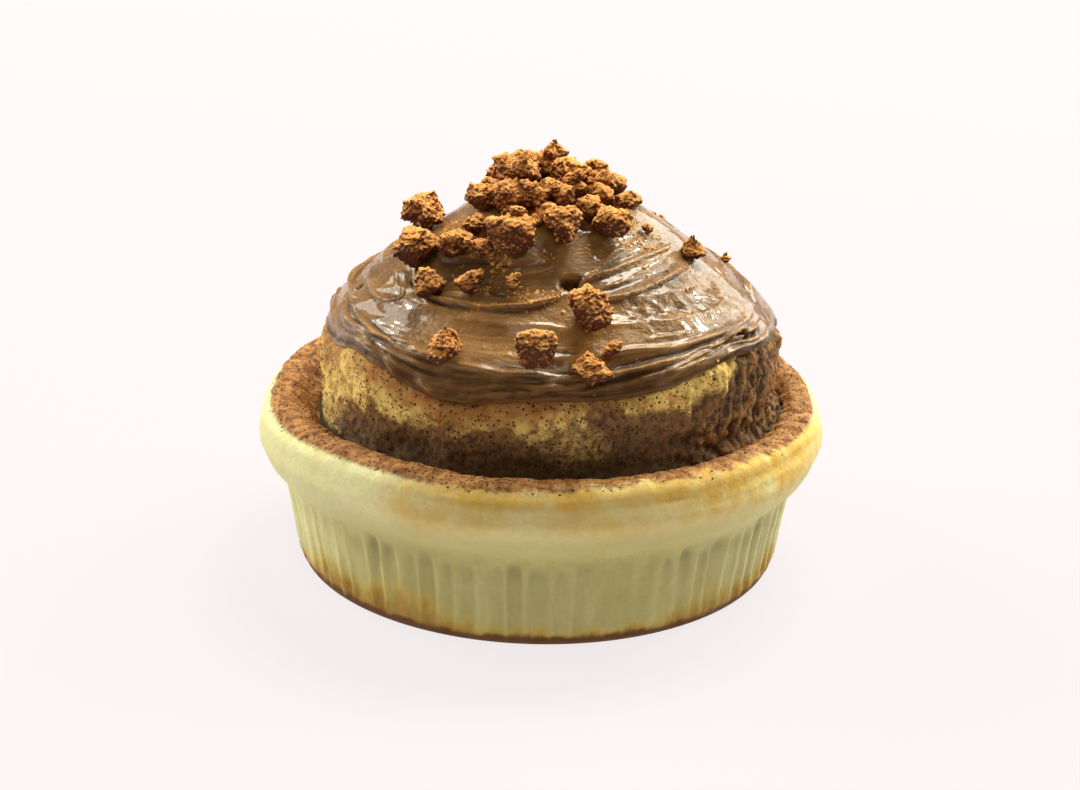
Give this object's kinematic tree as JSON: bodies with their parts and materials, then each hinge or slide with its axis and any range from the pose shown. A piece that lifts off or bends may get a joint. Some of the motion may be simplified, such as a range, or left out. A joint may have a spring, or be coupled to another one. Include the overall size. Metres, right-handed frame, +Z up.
{
  "type": "frosted cinnamon roll",
  "caption": "Round cinnamon roll baked in a fluted cup, with a swollen rim, a raised inner turn, a swirled cap of biscuit spread and a heap of biscuit crumbs.",
  "frame": {"origin": "centre of the flat base, below the middle of the rim", "axes": "+Z up from the base to the crumbs, -Y towards the front, where a swirl of the spread crosses the dome, +X to the right seen from the front"},
  "size_m": [0.1106, 0.1106, 0.081],
  "materials": {
    "dough": "matte",
    "spread": "gloss",
    "crumb": "matte"
  },
  "bodies": {
    "root": {"rolled_bun": "dough", "biscuit_spread": "spread", "crumb_01": "crumb", "crumb_02": "crumb", "crumb_03": "crumb", "crumb_04": "crumb", "crumb_05": "crumb", "crumb_06": "crumb", "crumb_07": "crumb", "crumb_08": "crumb", "crumb_09": "crumb", "crumb_10": "crumb", "crumb_11": "crumb", "crumb_12": "crumb", "crumb_13": "crumb", "crumb_14": "crumb", "crumb_15": "crumb", "crumb_16": "crumb", "crumb_17": "crumb", "crumb_18": "crumb", "crumb_19": "crumb", "crumb_20": "crumb", "crumb_21": "crumb", "crumb_22": "crumb", "crumb_23": "crumb", "crumb_24": "crumb", "crumb_25": "crumb", "crumb_26": "crumb", "crumb_27": "crumb", "crumb_28": "crumb", "crumb_29": "crumb", "crumb_30": "crumb", "crumb_31": "crumb", "crumb_32": "crumb", "crumb_33": "crumb", "crumb_34": "crumb", "crumb_35": "crumb", "crumb_36": "crumb", "crumb_37": "crumb", "crumb_38": "crumb", "crumb_39": "crumb", "crumb_40": "crumb", "crumb_41": "crumb", "crumb_42": "crumb", "crumb_43": "crumb", "crumb_44": "crumb", "crumb_45": "crumb", "crumb_46": "crumb", "crumb_47": "crumb", "crumb_48": "crumb", "crumb_49": "crumb", "crumb_50": "crumb"}
  },
  "joints": []
}
